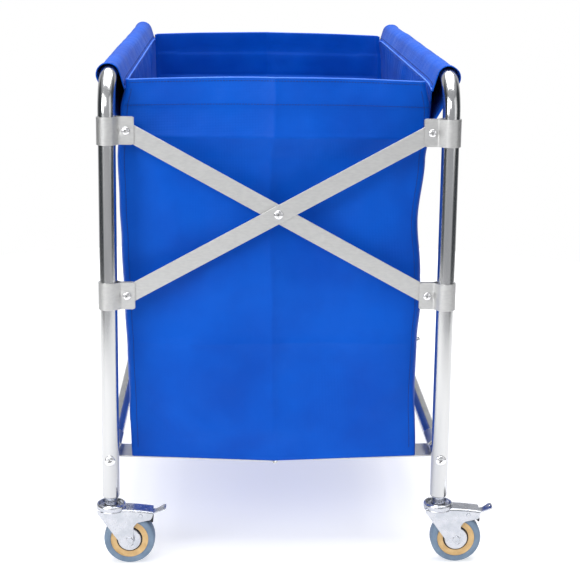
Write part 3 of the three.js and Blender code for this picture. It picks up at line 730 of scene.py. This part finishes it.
def wheel(place, label):
    axle = place + Vector((TRAIL, 0, WHEEL_R))
    core = [(4.4, -8.0), (18.8, -8.0), (19.4, -8.9), (25.6, -8.9), (26.6, -9.6), (27.6, -9.8), (27.6, 9.8),
            (26.6, 9.6), (25.6, 8.9), (19.4, 8.9), (18.8, 8.0), (4.4, 8.0)]
    made = lathe_mm(f"{label}_core_skin", core, axle, (0, 1, 0), TAN, 72, closed=True)
    settle(made, f"{label}_wheel", "core", f"{label}_wheel_core")
    shoulder = [(35.2, -10.3), (36.4, -9.4), (37.1, -8.0), (37.45, -6.0), (37.5, -3.0)]
    half = [(27.8, -9.6), (28.4, -10.3), (30.5, -10.5), (33.2, -10.6)] + shoulder
    tread = half + [(r, -y) for r, y in reversed(half)]
    made = lathe_mm(f"{label}_tyre_skin", tread, axle, (0, 1, 0), RUBBER, 72, closed=True)
    settle(made, f"{label}_wheel", "tyre", f"{label}_tyre")
    for side in (-1, 1):
        disc = [(4.4, 8.2), (16.8, 8.2), (17.0, 10.6), (16.4, 11.4), (14.2, 11.8), (9.5, 11.9),
                (8.8, 11.5), (4.4, 11.4), (4.4, 8.2)]
        made = on_axle(f"{label}_hub_cover_{side + 1}", place, side, disc, ZINC)
        settle(made, f"{label}_wheel", "zinc")
        ring = [(16.9, 8.1), (18.9, 8.1), (18.9, 8.5), (16.9, 8.5), (16.9, 8.1)]
        made = on_axle(f"{label}_hub_seal_{side + 1}", place, side, ring, BLACK)
        settle(made, f"{label}_wheel", "core")
        head = [(0, 14.3), (5.2, 14.3), (5.4, 15.2), (4.9, 15.8), (3.4, 16.1), (2.6, 15.8), (0, 15.7)]
        made = on_axle(f"{label}_axle_rivet_{side + 1}", place, side, head, ZINC, 32)
        settle(made, f"{label}_caster", "zinc")
    pin = [(0, -14.4), (3.9, -14.4), (3.9, 14.4), (0, 14.4)]
    made = on_axle(f"{label}_axle", place, 1, pin, ZINC, 32)
    settle(made, f"{label}_caster", "zinc")


def brake_pedal(place, label):
    """A bent lever out of the housing's end, its foot tab turned up, and the brake shoe under it."""
    line = [(42, 80.0, 9.5), (50, 79.6, 9.5), (58, 78.6, 9.5), (62, 78.2, 9.2), (64.5, 78.4, 8.2),
            (67.5, 79.2, 7.6), (70.5, 80.4, 8.2), (73.5, 82.0, 9.4), (76.5, 83.7, 10), (79.0, 84.9, 9.6),
            (80.4, 85.4, 8.2), (81, 85.5, 6)]
    rings = []
    for i, (x, z, half) in enumerate(line):
        a, b = line[max(i - 1, 0)], line[min(i + 1, len(line) - 1)]
        across = Vector((-(b[1] - a[1]), 0, b[0] - a[0])).normalized() * (0.9 * MM)
        spine = place + Vector((x * MM, 0, z * MM))
        crown = [Vector((0, half * MM * s, -0.5 * MM * s * s)) for s in (-1, -0.6, -0.2, 0.2, 0.6, 1)]
        rings.append([spine + c + across for c in crown] + [spine + c - across for c in reversed(crown)])
    lever = loft(f"{label}_pedal_skin", rings, ZINC, caps=True)
    round_edges(lever, 0.4 * MM)
    settle(lever, f"{label}_pedal", "zinc", f"{label}_brake_pedal")
    button = [(0, -1.2), (2.3, -1.2), (2.5, 0.6), (1.7, 1.1), (0, 1.3)]
    seat = place + Vector((76.3 * MM, 0, 84.2 * MM))
    rivet = lathe_mm(f"{label}_pedal_rivet", button, seat, (-0.5, 0, 1), FASTENER, 24)
    settle(rivet, f"{label}_pedal", "zinc")
    outline = [(48, 78.4), (48.6, 73.5), (50.2, 71.4), (54.2, 67.8), (60.4, 62.8), (61.8, 63.2),
               (62.2, 66.5), (60.6, 77)]
    outline = [(place.x + x * MM, place.z + z * MM) for x, z in outline]
    shoe = plate(f"{label}_brake_shoe", outline, place.y - 8.5 * MM, place.y + 8.5 * MM, BLACK, 0.8 * MM)
    settle(shoe, f"{label}_pedal", "zinc")
    pivot = [(0, -15.6), (2.6, -15.6), (3.0, -15.0), (3.0, -14.6), (2.0, -14.5), (2.0, 14.5), (3.0, 14.6),
             (3.0, 15.0), (2.6, 15.6), (0, 15.6)]
    hinge = place + Vector((44 * MM, 0, 76 * MM))
    pin = lathe_mm(f"{label}_pedal_pin", pivot, hinge, (0, 1, 0), ZINC, 24)
    settle(pin, f"{label}_caster", "zinc")


def caster(end, side):
    place = Vector((SIDE_X[side], SIGN[end] * LEG_Y, 0))
    label = f"{end}_{side}"
    stem = [(0, 79), (5, 79), (5, 84), (9.0, 86), (9.4, 88), (9.4, 98), (9.9, 99.4), (10.6, 100.4),
            (10.7, 101.6), (9.5, 103), (9.5, 130), (0, 130)]
    made = lathe_mm(f"{label}_stem_skin", stem, place, (0, 0, 1), ZINC, 48)
    settle(made, f"{side}_frame", "zinc", f"{label}_caster_stem")
    settle(fork_shell(place, f"{label}_fork_skin"), f"{label}_caster", "zinc", f"{label}_caster_fork")
    settle(raceway(place, f"{label}_raceway"), f"{label}_caster", "zinc")
    wheel(place, label)
    brake_pedal(place, label)


# ---------------------------------------------------------------- bag
CLOTH = 1.2 * MM
WALL_INSET = 23 * MM              # leg axis to the side wall
PANEL_Y = BAG_HI.y + 0.8 * MM     # middle of the front and rear panels
RIM_Z = BAG_HI.z
SEAM_DROP = 13 * MM               # top rail's axis down to the sleeve's seam
SEAM_Z = RAIL_Z - SEAM_DROP
TUNNEL_LOW_Z = 651.5 * MM         # lower seam of the sleeve
HEM = 37 * MM
WALL_END_Z = 205 * MM             # the side walls end here, outside the turned-up edge of the floor
BAND_TOP_Z = 209 * MM             # top of that turned-up edge
FLOOR_CORNER = 6 * MM             # radius where the floor turns up
FLOOR_CLEAR = CLOTH + 0.4 * MM    # side wall to the turned-up edge
STITCH_STEP = 4.2 * MM
STITCH_LENGTH = 3.2 * MM
SLEEVE_R = TUBE_R + 1.3 * MM
# (height, distance) pairs in millimetres: how far the panels swell, and the front corners stand out
PANEL_SWELL = ((145, 0), (200, 2), (330, 8), (450, 9), (560, 0), (600, 1), (638, 10), (678, 6), (725, 0))
CORNER_LINE = {
    "left": ((145, -6), (165, -5), (224, -3), (313, 0), (372, 3), (475, 7), (534, 10), (600, 12), (660, 7),
             (720, 1)),
    "right": ((145, -9), (165, -9), (240, -12), (330, -11), (390, -7), (430, -9), (510, -15), (600, -6),
              (640, -1), (720, 0)),
}


def along_line(points, height):
    """Smooth value at a height, both in metres, from (height, value) pairs in millimetres."""
    h = height / MM
    if h <= points[0][0]:
        return points[0][1] * MM
    for (h0, v0), (h1, v1) in zip(points, points[1:]):
        if h <= h1:
            t = (h - h0) / (h1 - h0)
            return (v0 + (v1 - v0) * t * t * (3 - 2 * t)) * MM
    return points[-1][1] * MM


def turn_in(z):
    """Depth of the rounded corner of the bag, which is small where the floor links swing past."""
    return 1.2 * MM + 8.8 * MM * ease(z, 0.205, 0.29)


def wall_x(side, y, z):
    """Middle surface of a side wall: it follows its corner lines at both ends and is gathered on top."""
    near_front = bell(y, -PANEL_Y, 0.17)
    near_rear = bell(y, PANEL_Y, 0.17)
    other = "right" if side == "left" else "left"
    out = along_line(CORNER_LINE[side], z) * near_front
    out += along_line(CORNER_LINE[other], z) * near_rear * 0.7
    out -= 3 * MM * (1 - near_front) * (1 - near_rear)
    below = SEAM_Z - z
    out *= ease(below, 0, 30 * MM)
    calm = min(1.0, (PANEL_Y - abs(y)) / (30 * MM)) * min(1.0, max(below, 0) / (12 * MM))
    seed = 3.0 if side == "left" else 11.0
    gather = math.sin(TAU * y / (19 * MM) + 11 * field(y * 11, z * 3, seed))
    gather *= math.exp(-max(below, 0) / (75 * MM)) * (0.6 + field(y * 7, 0, seed + 1))
    out += calm * 1.5 * MM * gather
    if BAND_TOP_Z < z:
        out += calm * 6 * MM * field(y * 5, z * 4, seed + 5) * bell(z, 0.46, 0.22)
        out += calm * 2 * MM * field(y * 16, z * 7, seed + 9)
    return SIDE_X[side] - SIGN[side] * (WALL_INSET - out)


def panel_relief(u, z, end):
    """How far the front or rear panel stands out of its plane, u being -1 to 1 across it: its swell,
    soft noise, the creases down its middle, two level creases, and a drag line at each corner."""
    seed = 21.0 if end == "front" else 37.0
    calm = 1 - u ** 6
    x = u * 0.22
    out = along_line(PANEL_SWELL, z) * (1 - u ** 4)
    out += 12 * MM * field(x * 6, z * 4.5, seed) * calm * ease(RIM_Z - z, 0, 0.12)
    out += 8 * MM * ridge(x, -2 * MM, 44 * MM) * bell(z, 0.60, 0.19)
    out += 4.2 * MM * field(x * 11, z * 8, seed + 2) * calm
    out += 0.8 * MM * field(x * 40, z * 30, seed + 4) * calm
    wander = 2.5 * MM * field(0, z * 6, seed + 6)
    out += 2.2 * MM * ridge(x, -2 * MM + wander, 6 * MM) * bell(z, 0.40, 0.40)
    out += 2.2 * MM * bell(x, -9 * MM, 20 * MM) * bell(z, 0.3, 0.3)
    out += 2.6 * MM * ridge(z, 0.635 + 1.5 * MM * field(x * 8, 0, seed + 7), 5 * MM) * calm
    out += 2.4 * MM * ridge(z, 0.327 + 2 * MM * field(x * 6, 1, seed + 8), 7 * MM) * calm
    for corner in (-1, 1):
        fold = (x - corner * 0.22) * 0.8 * corner + (0.70 - z) * 0.45
        out += 4.0 * MM * bell(fold, 0.015, 0.018) * bell(z, 0.60, 0.10) * calm
        drag = (x - corner * 0.20) * corner * 0.55 - (z - 0.16) * 0.5
        out += 3.2 * MM * bell(drag, -0.06, 0.016) * bell(z, 0.22, 0.07) * calm
    out *= ease(z, 0.150, 0.195)
    if z > RIM_Z - HEM:
        out += 0.7 * MM
    return out


def panel_bottom(x):
    """Lower edge of the front and rear panels: it follows the floor links down to the middle."""
    run = (SIDE_X["right"] - SIDE_X["left"]) / 2 - abs(x - MID_X)
    return LOW_RAIL_Z - LINK_TOP - run * math.tan(LINK_SLOPE) + 0.6 * MM


def panel_point(end, u, v):
    """u -1 to 1 from the left corner to the right one, v 0 to 1 from the lower edge to the rim."""
    out = SIGN[end]
    rim = RIM_Z + 5 * MM * (1 - u * u)
    across = MID_X + u * (SIDE_X["right"] - SIDE_X["left"] - 2 * WALL_INSET) / 2
    low = panel_bottom(across)
    z = low + (rim - low) * v
    turn = turn_in(z)
    corner_y = out * (PANEL_Y - turn)
    left, right = wall_x("left", corner_y, min(z, SEAM_Z)), wall_x("right", corner_y, min(z, SEAM_Z))
    if end == "front":
        right -= 8 * MM * ease(z, RIM_Z - 45 * MM, RIM_Z)
    x = left + (right - left) * (u + 1) / 2
    depth = PANEL_Y + max(panel_relief(u, z, end), -0.2 * MM)
    edge = min(x - left, right - x)
    if edge < turn:
        depth -= turn - math.sqrt(max(turn ** 2 - (turn - edge) ** 2, 0))
    return Vector((x, out * depth, z))


def cloth_piece(name, rows):
    """Cloth through rows of points, given its thickness and turned into plain mesh."""
    made = loft(name, rows, BLUE, ring_closed=False, sharp=75)
    layer = made.modifiers.new("layer", "SOLIDIFY")
    layer.thickness = CLOTH
    layer.offset = 0
    bake(made)
    return made


def stitch_row(name, points, outward, body):
    """A row of thread stitches along a line of points, lying on the cloth's outside."""
    verts, faces = [], []
    travelled, due = 0.0, STITCH_STEP
    for a, b in zip(points, points[1:]):
        step = (b - a).length
        while due <= travelled + step:
            place = a + (b - a) * ((due - travelled) / step) + outward
            way = (b - a).normalized()
            side = way.cross(outward).normalized()
            lift = outward.normalized()
            base = len(verts)
            for t, r in ((-0.5, 0.15), (-0.35, 0.42), (0.35, 0.42), (0.5, 0.15)):
                for k in range(6):
                    turn = TAU * k / 6
                    verts.append(place + way * (t * STITCH_LENGTH) + side * (r * MM * math.cos(turn))
                                 + lift * (r * MM * math.sin(turn)))
            faces += loft_faces(4, 6, base)
            faces.append(tuple(base + k for k in range(6)))
            faces.append(tuple(base + 18 + k for k in range(6)))
            due += STITCH_STEP
        travelled += step
    made = new_piece(name, verts, faces, THREAD, 60)
    settle(made, body, "fabric")
    return made


def follow_fold(piece):
    """The piece gets a mesh of its own."""
    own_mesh(piece)


def bag_panel(end):
    """Front or rear panel, its four rows of stitches and the binding round its rim."""
    columns, heights = spread(-1, 1, 171), spread(0, 1, 221)
    rows = [[panel_point(end, u, v) for u in columns] for v in heights]
    panel = cloth_piece(f"bag_{end}_panel", rows)
    settle(panel, "left_frame", "fabric", *(["bag"] if end == "front" else []))
    full = RIM_Z - LOW_RAIL_Z + 15 * MM
    outward = Vector((0, SIGN[end] * (CLOTH / 2 + 0.1 * MM), 0))
    lines = {
        "hem": [panel_point(end, u, 1 - HEM / full) for u in spread(-0.985, 0.985, 120)],
        "rim": [panel_point(end, u, 1 - 4.5 * MM / full) for u in spread(-0.985, 0.985, 120)],
        "left_edge": [panel_point(end, -0.955, v) for v in spread(0.02, 0.98, 120)],
        "right_edge": [panel_point(end, 0.955, v) for v in spread(0.02, 0.98, 120)],
    }
    trims = [stitch_row(f"bag_{end}_{label}_stitches", line, outward, "left_frame")
             for label, line in lines.items()]
    rings = [circle(panel_point(end, u, 1), Vector((0, 1, 0)), Vector((0, 0, 1)), 0.95 * MM, 10)
             for u in spread(-0.99, 0.99, 120)]
    # the bead round the rim is real; its lighter blue is painted highlight
    binding = loft(f"bag_{end}_rim_binding", rings, EDGE_HIGHLIGHT, caps=True)
    trims.append(settle(binding, "left_frame", "fabric"))
    for piece in [panel] + trims:
        follow_fold(piece)


def side_wall(side):
    """Side wall from the sleeve's seam down to the floor's turned-up edge."""
    shares = spread(-1, 1, 301)
    heights = spread(WALL_END_Z, SEAM_Z - 1 * MM, 121)
    rows = []
    for z in heights:
        reach = PANEL_Y - turn_in(z)
        rows.append([Vector((wall_x(side, share * reach, z), share * reach, z)) for share in shares])
    wall = cloth_piece(f"bag_{side}_wall", rows)
    settle(wall, f"{side}_frame", "fabric")
    line = [point + Vector((0, 0, 5 * MM)) for point in rows[0][2:-2:3]]
    outward = Vector((SIGN[side] * (CLOTH / 2 + 0.1 * MM), 0, 0))
    stitches = stitch_row(f"bag_{side}_wall_stitches", line, outward, f"{side}_frame")


def floor_half(side):
    """Half of the bag's floor, on the floor links, with its outer edge turned up inside the side wall."""
    half_span = (SIDE_X["right"] - SIDE_X["left"]) / 2
    inner_end = half_span - 0.05 * MM
    inner_side = -SIGN[side]
    lengths = spread(-(BAG_HI.y - 0.4 * MM), BAG_HI.y - 0.4 * MM, 161)
    rows = []
    for y in lengths:
        foot = inner_side * (wall_x(side, y, 0.16) - SIDE_X[side]) + FLOOR_CLEAR
        outer_end = foot + FLOOR_CORNER
        between = max(0.0, 1 - abs(y) / (LEG_Y - 95 * MM)) ** 0.5
        near_link = 1 - ease(abs(abs(y) - (LEG_Y - LINK_INSET)), LINK_HALF + 2 * MM, LINK_HALF + 17 * MM)
        row = []
        for t in spread(0, 1, 40):
            run = inner_end - (inner_end - outer_end) * t
            rest = -LINK_TOP / math.cos(LINK_SLOPE) - run * math.tan(LINK_SLOPE) + CLOTH / 2 + 0.5 * MM
            sag = between * (1 - abs(2 * t - 1) ** 3) * (3 * MM + 2 * MM * field(run * 9, y * 7, 50))
            over_knuckle = 3.8 * MM * bell(run, half_span, 9 * MM) * near_link
            row.append((run, rest - sag + over_knuckle))
        level = row[-1][1] + FLOOR_CORNER
        row += [(outer_end - FLOOR_CORNER * math.sin(a), level - FLOOR_CORNER * math.cos(a))
                for a in spread(0.3, math.pi / 2, 6)]
        for z in spread(LOW_RAIL_Z + level + 3 * MM, BAND_TOP_Z, 12):
            reach = inner_side * (wall_x(side, y, z) - SIDE_X[side]) + FLOOR_CLEAR
            row.append((reach, z - LOW_RAIL_Z))
        rows.append([Vector((SIDE_X[side] + inner_side * run, y, LOW_RAIL_Z + z)) for run, z in row])
    floor = cloth_piece(f"bag_floor_{side}", rows)
    settle(floor, f"front_{side}_link", "fabric")


def sleeve_section(side, y, droop):
    """The tunnel's section, from the seam over the rail and down to the wall: rail's axis at (0, 0)."""
    tip = Vector((WALL_INSET - 0.5 * MM, -SEAM_DROP - droop))
    along = max(min(y, 0.385), -0.385)
    foot_x = -SIGN[side] * (wall_x(side, along, TUNNEL_LOW_Z) - SIDE_X[side]) - CLOTH
    foot = Vector((foot_x, TUNNEL_LOW_Z - RAIL_Z))
    start = math.atan2(tip.y, tip.x) + math.acos(SLEEVE_R / tip.length)
    stop = math.atan2(foot.y, foot.x) - math.acos(SLEEVE_R / foot.length) + TAU
    first = Vector((math.cos(start), math.sin(start))) * SLEEVE_R
    last = Vector((math.cos(stop), math.sin(stop))) * SLEEVE_R
    section = [tip.lerp(first, t) for t in spread(0, 0.92, 9)]
    section += [Vector((math.cos(a), math.sin(a))) * SLEEVE_R for a in spread(start, stop, 34)]
    section += [last.lerp(foot, t) for t in spread(0.06, 1, 18)]
    return section


def sleeve(side):
    """Cloth tunnel round a top rail: sewn to the side wall beside the rail and again below it."""
    inner_side = -SIGN[side]
    seed = 61.0 if side == "left" else 71.0
    end_y = BAG_HI.y + 1.5 * MM
    rows, seam, topstitch = [], [], []
    for y in spread(-end_y, end_y, 321):
        to_end = end_y - abs(y)
        droop = 7 * MM * math.exp(-to_end / (26 * MM))
        swell = 1.6 * MM * math.exp(-to_end / (12 * MM)) + (0.6 * MM if to_end < 14 * MM else 0)
        swell += 2.2 * MM * (0.5 + 0.5 * field(y * 4, 0, seed + 6))
        turn = abs(y) - (LEG_Y - BEND_R)
        rest_z = RAIL_Z - (BEND_R - math.sqrt(BEND_R ** 2 - turn ** 2) if turn > 0 else 0)
        section = sleeve_section(side, y, droop)
        row = []
        for i, point in enumerate(section):
            share = i / (len(section) - 1)
            loose = math.sin(math.pi * share) ** 0.5
            crumple = abs(field(y * 9, share * 3, seed)) * 1.6 * MM
            crumple += abs(field(y * 30, share * 5, seed + 3)) * 0.5 * MM
            grown = point + point.normalized() * (loose * (swell + crumple))
            row.append(Vector((SIDE_X[side] + inner_side * grown.x, y, rest_z + grown.y)))
        rows.append(row)
        if to_end > 3 * MM:
            seam.append(row[0] + Vector((inner_side * 0.6 * MM, 0, 0)))
            topstitch.append(row[2])
    made = cloth_piece(f"{side}_sleeve", rows)
    settle(made, f"{side}_frame", "fabric", f"{side}_rail_sleeve")
    rings = [circle(place, Vector((1, 0, 0)), Vector((0, 0, 1)), 1.3 * MM, 10) for place in seam[::2]]
    # the piping is real; its lighter blue is painted highlight
    piping = settle(loft(f"{side}_sleeve_piping", rings, EDGE_HIGHLIGHT, caps=True), f"{side}_frame", "fabric")
    outward = Vector((inner_side * 0.55, 0, 0.83)) * (1.1 * MM)
    stitches = stitch_row(f"{side}_sleeve_stitches", topstitch[::3], outward, f"{side}_frame")


def add_bag():
    for side in SIDES:
        sleeve(side)
        side_wall(side)
        floor_half(side)
    for end in ENDS:
        bag_panel(end)


add_studio()
add_frame()
for end in ENDS:
    for side in SIDES:
        caster(end, side)
add_bag()
